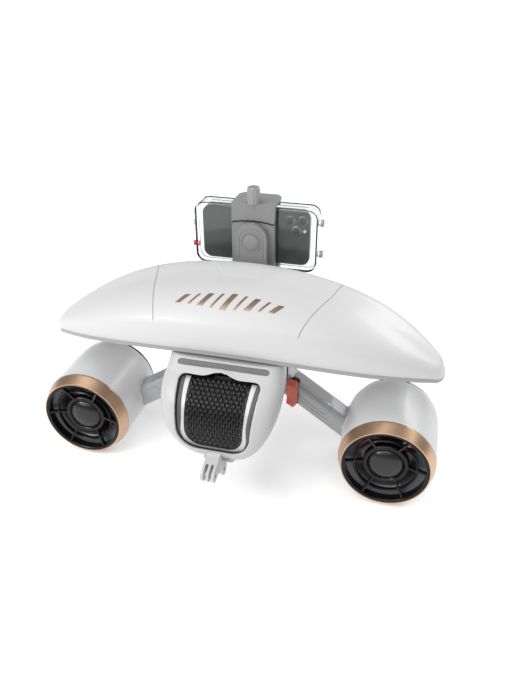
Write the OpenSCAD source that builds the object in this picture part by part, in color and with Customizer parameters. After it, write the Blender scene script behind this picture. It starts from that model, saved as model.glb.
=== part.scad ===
// Twin-thruster underwater scooter with a float on top, a battery in the
// middle pod, a camera bracket under the chin and a phone clamp at the rear.
// -Y is the way it travels and +Z is up. Left and right are as seen from the
// front, so a piece named left is on the -X side.
// Every piece is drawn from the thrusters' front plane and axis height, and
// place() then moves it so that the origin is under the middle of the object.

/* [Thrusters] */
// Distance between the two thruster axes
thruster_spacing = 375.8; // [374:0.2:378]
// Outer radius of a nacelle
nacelle_r = 55.6; // [55:0.1:56]
// Length of the trim ring at the front of a nacelle
trim_len = 15.6; // [14:0.2:16]
// Length from the front plane to the end of the silver shell
nacelle_len = 105.5; // [104:0.5:107]
// Inner radius of the duct round the propeller
duct_r = 35.6; // [35.4:0.1:36]
// Radius of the propeller over its tips
prop_r = 34.4; // [33:0.1:34.5]
// Number of propeller blades
blade_count = 4; // [3:1:5]
// Number of spokes in the front guard
spoke_count = 6; // [5:1:8]
// Radius of the motor shaft
shaft_r = 2.5; // [2.4:0.05:2.6]

/* [Pod] */
// Half width of the pod at its top
pod_half_w = 70; // [69:0.5:71]
// Height of the pod's flat top above the thruster axes
pod_top = 112; // [111:0.5:113]
// Wall of the pod's shells
pod_wall = 3; // [2.6:0.1:3.2]
// Radius of the drum that holds the battery
drum_r = 57; // [56.5:0.1:57.2]

/* [Battery] */
// Lean of the battery window from the vertical
window_lean = 27; // [26:0.5:28]
// Half width of the battery at its top
battery_half_w = 46; // [45:0.5:46.5]
// Half width of the black grip pad on the battery
pad_half_w = 36; // [34:0.5:37]
// Depth of the battery behind its window plane
battery_depth = 42; // [38:0.5:42]

/* [Float] */
// Half span of the float
float_half_span = 240; // [236:1:242]
// Highest point of the float above the thruster axes
float_top = 182; // [180:1:186]
// Wall of the float's shells
float_wall = 3; // [2.6:0.1:3.4]

/* [Arms] */
// Height of an arm's section
arm_h = 28; // [26:0.5:29]
// Depth of an arm's section, front to back
arm_d = 30; // [28:0.5:31]
// Travel of a trigger
trigger_travel = 5; // [3:0.5:5]

/* [Camera bracket] */
// Radius of the cross hole in each fork
fork_hole_r = 2.6; // [2.5:0.05:2.7]
// Thickness of one fork prong
prong_t = 3; // [2.8:0.1:3.2]
// Gap between two fork prongs
prong_gap = 3.2; // [3:0.1:3.4]

/* [Phone clamp] */
// Half width of the clamp's jaws
clamp_half_w = 26.2; // [25:0.2:27]
// Half width of the clear phone case
case_half_w = 76; // [74:0.5:78]
// Thickness of the clear case's walls
case_wall = 2.2; // [1.8:0.1:2.6]

/* [Hidden] */

$fn = 96;
gap = 0.1;

// Thruster stations along the axis, from the front plane
thruster_x = thruster_spacing / 2;
guard_r = 49.5;
hub_y = 11;
hub_r = 20.6;
prop_y = 30;
prop_len = 22;
housing_y = 54;
housing_end = 90;
housing_r = 17;
bearing_r = 8;
rear_guard_len = 4.5;

// Pod: the drum's axis runs along X
drum_y = 8;
drum_z = 45;
pod_low = drum_z - drum_r;
taper_z = 85;
pod_rear = 104;
brow_z = 98;
waist_y = 15;
split_y = 40;

// Battery window frame: u along X, v up the window, w out of it
window_y = -28.5;
window_z = 67;
drum_v = (drum_y - window_y) * sin(window_lean) + (drum_z - window_z) * cos(window_lean);
drum_w = (drum_z - window_z) * sin(window_lean) - (drum_y - window_y) * cos(window_lean);
battery_r = 50.3;

// Arm line: from the nacelle towards the pod
arm_x = 134.4;
arm_y = 71;
arm_z = 2;
arm_rise = 31.2;
arm_sweep = 6.2;
arm_wall = 3;
cable_y = 8;
arm_run = 112;

// Camera forks: centre of each cross hole
fork_a = [-62.8, 3.9];
fork_b = [-30, -13.1];
fork_r = 7.5;
fork_w = 3 * prong_t + 2 * prong_gap;

// Clamp stations
post_y = 121;
post_t = 9;
post_half_w = 18.9;
post_top = 229.6;
button_z = 206.8;
clamp_y = post_y + post_t + 0.2;
clamp_back = 139;
clamp_rear = 172;
clamp_low = 158;
jaw_z = 228;
jaw_top = 250.7;
screw_y = (clamp_y + clamp_back) / 2;
case_y = 140;
case_split = 151.6;
case_rear = 163;
case_low = 167;
case_top = 245;

// The object's box, front to back, sets the origin
front_y = fork_a[0] - fork_r;
mid_y = (front_y + clamp_rear) / 2;

module place() {
    translate([0, -mid_y, nacelle_r]) children();
}

module mirrored(side) {
    if (side < 0) mirror([1, 0, 0]) children();
    else children();
}

// A child drawn round local Z stands on the thruster axis, +Z to the rear
module on_thruster(side) {
    place() mirrored(side) translate([thruster_x, 0, 0]) rotate([-90, 0, 0]) children();
}

module on_arm(side) {
    place() mirrored(side) translate([arm_x, arm_y, arm_z])
        rotate([0, arm_rise, -arm_sweep]) children();
}

module on_window() {
    place() translate([0, window_y, window_z]) rotate([90 - window_lean, 0, 0]) children();
}

// Extrudes a profile drawn in (y, z) along X, centred
module along_x(width) {
    translate([-width / 2, 0, 0]) rotate([90, 0, 90]) linear_extrude(width) children();
}

// Extrudes a profile drawn in (x, z) from y = from to y = to
module along_y(from, to) {
    translate([0, to, 0]) rotate([90, 0, 0]) linear_extrude(to - from) children();
}

function arc(cx, cy, r, a0, a1, n) =
    [for (i = [0:n]) [cx + r * cos(a0 + (a1 - a0) * i / n), cy + r * sin(a0 + (a1 - a0) * i / n)]];

function rounded_box(hx, hy, r, n = 6) = concat(
    arc(hx - r, hy - r, r, 0, 90, n), arc(-hx + r, hy - r, r, 90, 180, n),
    arc(-hx + r, -hy + r, r, 180, 270, n), arc(hx - r, -hy + r, r, 270, 360, n));

// Closed skin over a stack of equal rings of points
module loft(rings) {
    n = len(rings[0]);
    m = len(rings);
    sides = [for (j = [0:m - 2]) for (i = [0:n - 1]) let (k = (i + 1) % n)
        each [[j * n + i, j * n + k, (j + 1) * n + k], [j * n + i, (j + 1) * n + k, (j + 1) * n + i]]];
    first = [for (i = [0:n - 1]) n - 1 - i];
    last = [for (i = [0:n - 1]) (m - 1) * n + i];
    polyhedron([for (ring = rings) each ring], concat([first, last], sides));
}

// ---------------------------------------------------------------- thrusters

module nacelle_profile() {
    shoulder_y = 84;
    shoulder_r = 51.5;
    outer = [for (i = [0:8]) let (a = 90 * i / 8)
        [shoulder_r + (nacelle_r - shoulder_r) * cos(a),
         shoulder_y + (nacelle_len - shoulder_y) * sin(a)]];
    wall = 3.2;
    inner = [for (i = [8:-1:0]) outer[i] - [wall, i == 8 ? 0 : wall * i / 16]];
    polygon(concat([[nacelle_r, trim_len + gap]], outer, inner, [[nacelle_r - wall, trim_len + 3]],
        [[guard_r - 1, trim_len + 3]], [[guard_r - 1, trim_len + gap]]));
}

module nacelle_shell(side) {
    collar = 1.8;
    color([0.78, 0.79, 0.8]) {
        difference() {
            union() {
                on_thruster(side) rotate_extrude() nacelle_profile();
                intersection() {
                    on_arm(side) translate([-12, 0, 0]) rotate([0, 90, 0])
                        linear_extrude(40) polygon(rounded_box(arm_h / 2 + 2, arm_d / 2 + 2, 9));
                    on_thruster(side) translate([0, 0, trim_len + 2])
                        difference() {
                            cylinder(r = nacelle_r + collar, h = 80);
                            translate([0, 0, -1]) cylinder(r = nacelle_r - 1, h = 90);
                        }
                }
            }
            on_arm(side) translate([-20, cable_y, -2]) rotate([0, 90, 0]) cylinder(r = 3.2, h = 34);
        }
    }
}

module trim_ring(side) {
    front_r = 50.8;
    color([0.84, 0.66, 0.48]) on_thruster(side) rotate_extrude()
        polygon([[guard_r + gap, 0], [front_r, 0], [nacelle_r, trim_len - 1.4],
            [nacelle_r, trim_len], [guard_r + gap, trim_len]]);
}

module duct(side) {
    flare_r = 43.5;
    color([0.22, 0.22, 0.23]) on_thruster(side) rotate_extrude()
        polygon([[46, 10.4], [40, 12.5], [37, 15.4], [duct_r, 19], [duct_r, 78], [flare_r, nacelle_len],
            [flare_r + 2.5, nacelle_len], [duct_r + 2.5, 78], [duct_r + 2.5, 20], [41.5, 15.2], [48.3, 13],
            [48.3, 10.4]]);
}

module front_guard(side) {
    rim_r = 46;
    ring_r = 35.5;
    hub_ring_r = 26;
    spoke_w = 2.2;
    spoke = [[hub_ring_r - 2, 8.2], [rim_r + 1, 1.2], [rim_r + 1, 6], [hub_ring_r - 2, 13.5]];
    color([0.06, 0.06, 0.065]) on_thruster(side) {
        rotate([0, 0, 30]) {
            rotate_extrude() polygon([[rim_r, 1], [rim_r + 0.8, 0.3], [guard_r - 0.6, 0.3], [guard_r, 0.9],
                [guard_r, 10.2], [rim_r, 10.2]]);
            rotate_extrude() polygon([[ring_r - 1, 5.4], [ring_r, 4.6], [ring_r + 1, 5.4], [ring_r + 1, 9.4],
                [ring_r - 1, 9.4]]);
            rotate_extrude() polygon([[hub_r + gap, 8.6], [hub_r + 1, 7.8], [hub_ring_r - 0.8, 7.8],
                [hub_ring_r, 8.6], [hub_ring_r, 16], [hub_r + gap, 16]]);
        }
        for (i = [0:spoke_count - 1]) rotate([0, 0, i * 360 / spoke_count])
            rotate([90, 0, 0]) linear_extrude(spoke_w, center = true) polygon(spoke);
    }
}

module hub_dome(side) {
    dome_h = 9;
    color([0.16, 0.16, 0.17]) on_thruster(side) rotate_extrude()
        polygon(concat([[0, 16], [hub_r, 16]], [for (i = [0:10]) let (a = 9 * i)
            [hub_r * cos(a), hub_y - dome_h * sin(a)]]));
}

module propeller(side) {
    hub = 10.5;
    blade_t = 2;
    blade_w = 17;
    pitch_angle = 38;
    color([0.6, 0.12, 0.07]) on_thruster(side) difference() {
        intersection() {
            union() {
                translate([0, 0, prop_y]) cylinder(r = hub, h = prop_len);
                translate([0, 0, prop_y - 4]) cylinder(r1 = 5, r2 = hub, h = 4);
                for (i = [0:blade_count - 1]) rotate([0, 0, i * 360 / blade_count])
                    translate([hub - 3, 0, prop_y + prop_len / 2]) rotate([pitch_angle, 0, 0])
                        translate([0, -blade_w / 2, -blade_t / 2]) cube([prop_r, blade_w, blade_t]);
            }
            translate([0, 0, prop_y - 5]) cylinder(r = prop_r, h = prop_len + 5);
        }
        translate([0, 0, prop_y - 6]) cylinder(r = shaft_r, h = prop_len + 12);
    }
}

module rotor(side) {
    magnet_r = 13.8;
    color([0.7, 0.71, 0.73]) on_thruster(side) {
        translate([0, 0, prop_y - 7]) cylinder(r = shaft_r, h = 62.5);
        difference() {
            translate([0, 0, 62]) cylinder(r = magnet_r, h = 16);
            translate([0, 0, 64]) cylinder(r = 11.6, h = 16);
        }
    }
}

module motor_housing(side) {
    vane_count = 5;
    vane_t = 1.8;
    color([0.3, 0.31, 0.32]) on_thruster(side) {
        difference() {
            union() {
                translate([0, 0, housing_y]) cylinder(r = housing_r, h = housing_end - housing_y);
                translate([0, 0, housing_end]) cylinder(r1 = housing_r, r2 = 7, h = 12);
                for (i = [0:vane_count - 1]) rotate([0, 0, i * 360 / vane_count])
                    translate([housing_r - 1, -vane_t / 2, 58]) cube([duct_r - housing_r + 0.6, vane_t, 18]);
            }
            translate([0, 0, housing_y - 1]) cylinder(r = bearing_r + 0.05, h = 6);
            translate([0, 0, housing_y + 6]) cylinder(r = 14.6, h = 22);
            translate([0, 0, housing_y + 4]) cylinder(r = 6, h = 3);
            translate([0, 0, 81]) cylinder(r = bearing_r + 0.05, h = 5.2);
        }
    }
}

module motor_stators() {
    color([0.72, 0.45, 0.2]) for (side = [-1, 1]) on_thruster(side) difference() {
        union() {
            translate([0, 0, 66]) cylinder(r = 11, h = 15);
            translate([0, 0, 79.6]) cylinder(r = 14.5, h = 1.4);
        }
        translate([0, 0, 60]) cylinder(r = 4, h = 24);
    }
}

module motor_bearings() {
    color([0.75, 0.76, 0.78]) for (side = [-1, 1]) on_thruster(side) for (y = [housing_y, 81.1])
        translate([0, 0, y]) difference() {
            cylinder(r = bearing_r, h = 4.9);
            translate([0, 0, -1]) cylinder(r = shaft_r + 0.05, h = 8);
        }
}

module rear_guard(side) {
    rim_r = 43;
    rings = [[4.5, 8, 4], [18, 20, 3], [30, 32, 3]];
    color([0.05, 0.05, 0.055]) on_thruster(side) translate([0, 0, nacelle_len + gap]) {
        rotate_extrude() polygon([[rim_r, 0], [52, 0], [50.8, rear_guard_len], [rim_r, rear_guard_len]]);
        for (ring = rings) rotate_extrude()
            polygon([[ring[0], 0], [ring[1], 0], [ring[1], ring[2]], [ring[0], ring[2]]]);
        for (i = [0:spoke_count - 1]) rotate([0, 0, 30 + i * 360 / spoke_count])
            translate([7, -1, 0.4]) cube([rim_r - 6, 2, 2.2]);
    }
}

// --------------------------------------------------------------------- arms

module arm_section(inset) {
    polygon(rounded_box(arm_h / 2 - inset, arm_d / 2 - inset, 8 - inset));
}

// Local X of the section is the arm's height, so +X of the polygon points down
module arm_bar(inset, from, to) {
    translate([-to, 0, 0]) rotate([0, 90, 0]) linear_extrude(to - from) arm_section(inset);
}

// What the arm may not enter: the nacelle at one end and the pod at the other
module arm_ends(side) {
    on_thruster(side) cylinder(r = nacelle_r + 1.9, h = 120);
    place() loft(pod_rings(-gap));
}

seam_h = -3;

module arm_shell(side) {
    color([0.8, 0.81, 0.82]) difference() {
        on_arm(side) difference() {
            arm_bar(0, -8, arm_run);
            arm_bar(arm_wall, -9, arm_run + 1);
            translate([-arm_run - 1, -20, seam_h - 30]) cube([arm_run + 20, 40, 30]);
            translate([-60, 0, arm_h / 2 - 0.9]) grip_outline(0.15);
        }
        arm_ends(side);
        trigger_window(side);
    }
}

module arm_covers() {
    color([0.74, 0.75, 0.76]) for (side = [-1, 1]) difference() {
        on_arm(side) difference() {
            arm_bar(0, -8, arm_run);
            arm_bar(arm_wall, -9, arm_run + 1);
            translate([-arm_run - 1, -20, seam_h - 0.15]) cube([arm_run + 20, 40, 40]);
        }
        arm_ends(side);
        trigger_window(side);
    }
}

// Long pad with round ends, let into the arm's top
module grip_outline(extra) {
    half_len = 28;
    half_w = 8;
    linear_extrude(2 + extra) {
        translate([half_len - half_w, 0]) circle(half_w + extra);
        translate([-half_len + half_w, 0]) circle(half_w + extra);
        square([2 * (half_len - half_w), 2 * (half_w + extra)], center = true);
    }
}

module grip_pads() {
    color([0.66, 0.67, 0.68]) for (side = [-1, 1]) difference() {
        on_arm(side) difference() {
            translate([-60, 0, arm_h / 2 - 0.9]) grip_outline(0);
            translate([-100, -20, arm_h / 2 + 0.3]) cube([100, 40, 4]);
        }
        trigger_window(side);
    }
}

module motor_cables() {
    color([0.1, 0.1, 0.1]) for (side = [-1, 1]) on_arm(side)
        translate([12 - arm_run, cable_y, -2]) rotate([0, 90, 0]) cylinder(r = 2.6, h = arm_run - 4);
}

trigger_x = 67.6;
trigger_z = 43;
trigger_half_w = 6.2;
trigger_half_h = 16;
trigger_front = 53;
trigger_back = 68;
stem_r = 3;
spring_h = 2.9;

module trigger_window(side) {
    slack = 0.4;
    place() mirrored(side) translate([trigger_x, 0, trigger_z])
        along_y(trigger_front - 6, trigger_back + trigger_travel + 0.6)
            square([2 * (trigger_half_w + slack), 2 * (trigger_half_h + slack)], center = true);
}

module trigger(side) {
    color([0.78, 0.2, 0.13]) place() mirrored(side) translate([trigger_x, 0, trigger_z]) {
        difference() {
            along_y(trigger_front, trigger_back)
                polygon([[-trigger_half_w, 16], [3.6, 12.8], [trigger_half_w, 9.6], [trigger_half_w, -10.6],
                    [1.8, -16], [-trigger_half_w, -11.4]]);
            translate([0, trigger_front - 36, 2]) rotate([0, 90, 0]) cylinder(r = 38, h = 40, center = true);
        }
        along_y(trigger_back - 1, trigger_back + 10) circle(stem_r);
    }
}

module trigger_guides() {
    guide_y = trigger_back + trigger_travel + spring_h + 0.2;
    color([0.2, 0.2, 0.2]) for (side = [-1, 1]) place() mirrored(side)
        translate([trigger_x, 0, trigger_z]) difference() {
            along_y(guide_y, guide_y + 5) square([11, 12], center = true);
            along_y(guide_y - 1, guide_y + 10) circle(stem_r + 0.05);
        }
}

// Return spring, drawn at its solid height so that the trigger has its full travel
module trigger_springs() {
    wire_r = 0.42;
    coil_r = stem_r + 0.9;
    turns = 2.2;
    steps = 26;
    sides = 6;
    start_y = trigger_back + trigger_travel + 0.1 + wire_r;
    rise = spring_h - 2 * wire_r;
    color([0.8, 0.8, 0.82]) for (side = [-1, 1]) place() mirrored(side)
        translate([trigger_x, start_y, trigger_z]) rotate([-90, 0, 0])
            loft([for (j = [0:steps]) let (a = 360 * turns * j / steps)
                [for (i = [0:sides - 1]) let (b = 360 * i / sides, r = coil_r + wire_r * cos(b))
                    [r * cos(a), r * sin(a), rise * j / steps + wire_r * sin(b)]]]);
}

// ---------------------------------------------------------------------- pod

// Taper from 0 at the pod's lowest point to 1 at taper_z and above
function taper(z, power) =
    let (t = min(1, max(0, (taper_z - z) / (taper_z - pod_low))))
    pow(1 - pow(t, power), 1 / power);

// The pod narrows from waist_y back to its rear wall
function waist(y) = let (t = min(1, max(0, (y - waist_y) / (pod_rear - waist_y))))
    1 - 0.28 * t * t * (3 - 2 * t);

function drum_front(z, r) = drum_y - sqrt(max(0, r * r - (z - drum_z) * (z - drum_z)));

function pod_front(z, inset) = let (brow_y = drum_front(brow_z, drum_r))
    z < brow_z ? drum_front(z, drum_r - inset) : brow_y + inset + (z - brow_z) * 1.2;

// Ring of the pod at height z: a squared oval that narrows downwards
function pod_ring(z, inset, n = 40) = let (
        level = min(pod_top - inset, max(pod_low + inset + 0.2, z)),
        half_w = pod_half_w * taper(level - inset * 0.8, 1.8) - inset,
        y0 = pod_front(level, inset),
        y1 = drum_y + (pod_rear - drum_y) * taper(level - inset * 0.8, 2.6) - inset,
        power = 2 / 6)
    [for (i = [0:n - 1]) let (
            a = -360 * i / n, c = cos(a), s = sin(a),
            y = (y0 + y1) / 2 + max(0.4, (y1 - y0) / 2) * sign(s) * pow(abs(s), power))
        [max(0.4, half_w) * waist(y) * sign(c) * pow(abs(c), power), y, level]];

function pod_rings(inset) = let (
        bottom = pod_low + max(inset, 0) + 0.3,
        top = pod_top - inset)
    concat(
        [for (i = [1:16]) let (a = 90 * i / 16) pod_ring(taper_z - (taper_z - bottom) * cos(a), inset)],
        [pod_ring(92, inset), pod_ring(brow_z, inset), pod_ring(top - 2, inset)],
        [[for (p = pod_ring(top, inset + 1)) [p[0], p[1], top]]]);

module pod_hollow() {
    difference() {
        loft(pod_rings(0));
        loft(pod_rings(pod_wall));
    }
}

// Outline of the battery in the window frame, drawn larger by extra
function battery_outline(extra) = let (
        corner = 6, knee = 24, low = -22, high = 30)
    concat(
        arc(battery_half_w - corner, high, corner + extra, 90, 0, 5),
        arc(battery_half_w - 4.5 - knee, low, knee + extra, 0, -90, 10),
        arc(-battery_half_w + 4.5 + knee, low, knee + extra, -90, -180, 10),
        arc(-battery_half_w + corner, high, corner + extra, 180, 90, 5));

notch_half_w = 15;
notch_top = 42;

module window_cut() {
    on_window() translate([0, 0, -34]) linear_extrude(70) {
        polygon(battery_outline(1.8));
        polygon([[-notch_half_w - 6, 34], [-notch_half_w + 5, notch_top], [notch_half_w - 5, notch_top],
            [notch_half_w + 6, 34]]);
    }
}

module pod_front_shell() {
    color([0.93, 0.93, 0.94]) difference() {
        intersection() {
            place() pod_hollow();
            place() translate([-100, -100, -100]) cube([200, 100 + split_y, 300]);
        }
        window_cut();
        place() float_screw_axis(100, 120, 2.1);
        place() slot_shape(0, 12);
        place() bracket_screw_axis(drum_r - 8, drum_r + 8, 1.6);
    }
}

module pod_rear_shell() {
    color([0.9, 0.9, 0.91]) difference() {
        intersection() {
            place() pod_hollow();
            place() translate([-100, split_y + 1.4, -100]) cube([200, 100, 300]);
        }
        for (side = [-1, 1]) on_arm(side) translate([-arm_run, cable_y, -2]) rotate([0, 90, 0])
            cylinder(r = 3.2, h = 60);
        place() for (at = pod_screw_at) translate(at) rotate([-90, 0, 0]) {
            cylinder(r = 3.5, h = 20);
            translate([0, 0, -12]) cylinder(r = 1.6, h = 20);
        }
        place() translate([0, 0, 66]) along_y(90, 120) square([2 * lens_half_w + 0.4, 2 * lens_half_h + 0.4],
            center = true);
        place() translate([button_x, 0, 66]) along_y(90, 120) circle(6.2);
        place() for (s = [-1, 1]) translate([s * post_screw_x, 0, post_screw_z]) along_y(90, 120) circle(2.1);
        place() float_screw_axis(100, 120, 2.1);
    }
}

// A flat gasket between the two pod shells
module pod_seal() {
    color([0.08, 0.08, 0.08]) intersection() {
        place() difference() {
            loft(pod_rings(0.6));
            loft(pod_rings(pod_wall));
        }
        place() translate([-100, split_y + 0.1, -100]) cube([200, 1.2, 300]);
    }
}

slot_half_w = 53;
slot_y = -0.9;
slot_z = 108;
slot_tilt = atan(1.2);

// Rounded bar that lies on the pod's sloping brow
module slot_shape(inset, depth) {
    half_h = 3.2 - inset;
    translate([0, slot_y, slot_z]) rotate([slot_tilt, 0, 0]) translate([0, 0, -depth / 2]) linear_extrude(depth) {
        for (s = [-1, 1]) translate([s * (slot_half_w - 3.2), 0]) circle(half_h);
        square([2 * (slot_half_w - 3.2), 2 * half_h], center = true);
    }
}

module top_slot_insert() {
    color([0.35, 0.35, 0.36]) place() intersection() {
        slot_shape(0.15, 4);
        translate([0, slot_y, slot_z]) rotate([slot_tilt, 0, 0]) translate([-100, -20, -6.5]) cube([200, 40, 5]);
    }
}

// Sleeve inside the pod that the battery slides in
module battery_bay() {
    clear = 1;
    wall = 1.6;
    back = battery_depth + 1;
    color([0.25, 0.25, 0.26]) difference() {
        intersection() {
            on_window() translate([0, 0, -back - wall]) linear_extrude(60)
                polygon(battery_outline(clear + wall));
            place() loft(pod_rings(pod_wall + 0.4));
        }
        on_window() {
            translate([0, 0, -back]) linear_extrude(60) polygon(battery_outline(clear));
            translate([-notch_half_w, 30, -26]) cube([2 * notch_half_w, 20, 40]);
        }
    }
}

module board_outline() {
    square([76, 34], center = true);
}

lens_half_w = 22;
lens_half_h = 13;
button_x = 36;

module control_board() {
    color([0.1, 0.32, 0.16]) place() {
        translate([0, 0, 66]) along_y(88, 89.6) board_outline();
        translate([0, 0, 66]) along_y(89.6, 97) square([38, 20], center = true);
    }
}

module display_lens() {
    color([0.05, 0.05, 0.07]) place() translate([0, 0, 66]) along_y(100.6, 102.6)
        square([2 * lens_half_w, 2 * lens_half_h], center = true);
}

module power_button() {
    color([0.2, 0.2, 0.21]) place() translate([button_x, 0, 66]) along_y(95, 105) circle(6);
}

// ----------------------------------------------------------- camera bracket

bracket_angle = 246;
bracket_screw_x = 11.5;
saddle_out = drum_r + 3.6;

// Screws run towards the drum's axis; from and to are radii from it
module bracket_screw_axis(from, to, r) {
    for (s = [-1, 1]) translate([s * bracket_screw_x, drum_y, drum_z]) rotate([bracket_angle, 0, 0])
        rotate([-90, 0, 0]) translate([0, 0, from]) cylinder(r = r, h = to - from);
}

module fork_slots(centre, angle) {
    translate([0, centre[0], centre[1]]) rotate([angle, 0, 0]) for (s = [-1, 1])
        translate([s * (prong_t + prong_gap) / 2, 0, 0]) translate([-prong_gap / 2, -10, -10])
            cube([prong_gap, 19.5, 20]);
}

module camera_bracket() {
    saddle_in = drum_r + 0.15;
    leg_a = [[-40.5, 22], [-47.5, 17.5], [-66.2, 10.6], [-62.8, 3.9], [-59.8, -3], [-38, 4], [-36, 8]];
    leg_b = [[-37.5, -13.1], [-22.5, -13.1], [-19, -6], [-24, 2], [-40, 8]];
    color([0.9, 0.9, 0.9]) place() difference() {
        union() {
            along_x(fork_w) difference() {
                union() {
                    polygon(leg_a);
                    polygon(leg_b);
                    translate(fork_a) circle(fork_r);
                    translate(fork_b) circle(fork_r);
                }
                translate([drum_y, drum_z]) circle(saddle_in);
            }
            along_x(2 * bracket_screw_x + 9) difference() {
                intersection() {
                    translate([drum_y, drum_z]) circle(saddle_out);
                    polygon([[drum_y, drum_z], [-52, -16], [-30, -50], [-6, -40]]);
                }
                translate([drum_y, drum_z]) circle(saddle_in);
            }
        }
        for (f = [fork_a, fork_b]) translate([0, f[0], f[1]]) rotate([0, 90, 0])
            cylinder(r = fork_hole_r, h = 60, center = true);
        fork_slots(fork_a, 22);
        fork_slots(fork_b, 96);
        bracket_screw_axis(drum_r - 8, drum_r + 8, 1.6);
        bracket_screw_axis(saddle_out - 2.2, saddle_out + 8, 3);
    }
}

module bracket_screws() {
    color([0.7, 0.7, 0.72]) place() {
        bracket_screw_axis(drum_r - 4.4, saddle_out - 2.1, 1.5);
        bracket_screw_axis(saddle_out - 2.15, saddle_out - 0.1, 2.9);
    }
}

pod_screw_at = [for (s = [-1, 1]) each [[s * 40, 98.6, 96], [s * 28, 90, 30]]];

// Screws from the rear that close the pod, and two that hold the clamp's post
module pod_screws() {
    color([0.7, 0.7, 0.72]) place() {
        for (at = pod_screw_at) translate(at) rotate([-90, 0, 0]) {
            translate([0, 0, 0.1]) cylinder(r = 3.3, h = 2);
            translate([0, 0, -8]) cylinder(r = 1.5, h = 9);
        }
        for (s = [-1, 1]) translate([s * post_screw_x, 0, post_screw_z]) {
            along_y(pod_rear - 6, post_y + post_t - 3) circle(2);
            along_y(post_y + post_t - 2.95, post_y + post_t - 0.2) circle(3.5);
        }
    }
}

post_screw_x = 13.4;
post_screw_z = 98.5;

// ------------------------------------------------------------------ battery

module battery_prism(extra, back, front) {
    translate([0, 0, -back]) linear_extrude(back + front) polygon(battery_outline(extra));
}

module drum_cut(r) {
    translate([-100, drum_v, drum_w]) rotate([0, 90, 0]) cylinder(r = r, h = 200);
}

latch_half_w = 10;

module latch_pocket(slack) {
    translate([-latch_half_w - slack, 30.5 - slack * 8, -22 - slack])
        cube([2 * (latch_half_w + slack), 12, 9 + 2 * slack]);
}

module battery_case() {
    wall = 2.4;
    color([0.12, 0.12, 0.13]) on_window() difference() {
        intersection() {
            battery_prism(-1.6, battery_depth, 20);
            drum_cut(battery_r - 1.9);
        }
        intersection() {
            battery_prism(-1.6 - wall, battery_depth - wall, 20);
            drum_cut(battery_r - 1.9 - wall);
            translate([-100, -100, -100]) cube([200, 126, 200]);
        }
        latch_pocket(0.4);
    }
}

// Silver frame: a U round the grip pad, with rails up both sides
module battery_frame() {
    color([0.82, 0.83, 0.84]) on_window() difference() {
        intersection() {
            battery_prism(0, battery_depth - 8, 20);
            drum_cut(battery_r + 1.4);
        }
        intersection() {
            battery_prism(-1.5, battery_depth, 20);
            drum_cut(battery_r - 1.8);
        }
        translate([0, 0, -60]) linear_extrude(100) pad_outline(0.15);
        translate([-60, 26, -100]) cube([120, 30, 84]);
        translate([-60, 35.9 - 2, -100]) cube([120, 30, 200]);
    }
}

module pad_outline(extra) {
    knee = 19;
    low = -24;
    polygon(concat(
        [[-pad_half_w - extra, 60], [pad_half_w + extra, 60]],
        arc(pad_half_w - 2.5 - knee, low, knee + extra, 0, -90, 10),
        arc(-pad_half_w + 2.5 + knee, low, knee + extra, -90, -180, 10)));
}

module battery_pad() {
    color([0.07, 0.07, 0.07]) on_window() difference() {
        intersection() {
            translate([0, 0, -30]) linear_extrude(60) pad_outline(0);
            drum_cut(battery_r + 0.6);
            translate([-100, -100, -100]) cube([200, 134, 200]);
        }
        drum_cut(battery_r - 1.8);
        latch_pocket(0.4);
    }
}

module battery_cells() {
    cell_r = 9.2;
    cell_len = 65;
    step = 18.8;
    back_w = -29.8;
    low_v = -24;
    color([0.2, 0.4, 0.6]) on_window() translate([-cell_len / 2, 0, 0]) {
        for (i = [0:2]) translate([0, low_v + i * step, back_w]) rotate([0, 90, 0])
            cylinder(r = cell_r, h = cell_len);
        for (i = [0:1]) translate([0, low_v + (i + 0.5) * step, back_w + step * 0.87]) rotate([0, 90, 0])
            cylinder(r = cell_r, h = cell_len);
    }
}

module battery_latch() {
    color([0.1, 0.1, 0.1]) on_window() translate([-latch_half_w, 30.5, -21.6]) cube([2 * latch_half_w, 7, 8.4]);
}

// --------------------------------------------------------------------- float

// Plan and height of the float, u is 0 at the middle and 1 at the tips
function lip_y(u) = 7.9 + 26.2 * u * u + 25.3 * pow(u, 4);
function nose_y(u) = lip_y(u) - 8 * (1 - u * u) - 0.6;
function band_y(u) = lip_y(u) - 3 * (1 - u * u) - 0.3;
function tail_y(u) = 120.4 - 43.4 * pow(max(0, (u - 0.417) / 0.583), 3.1);
function under_z(u) = 116.6 - 29.1 * u * u;
function crown_z(u) = float_top - (float_top - 104) * pow(u, 2.2);

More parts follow.
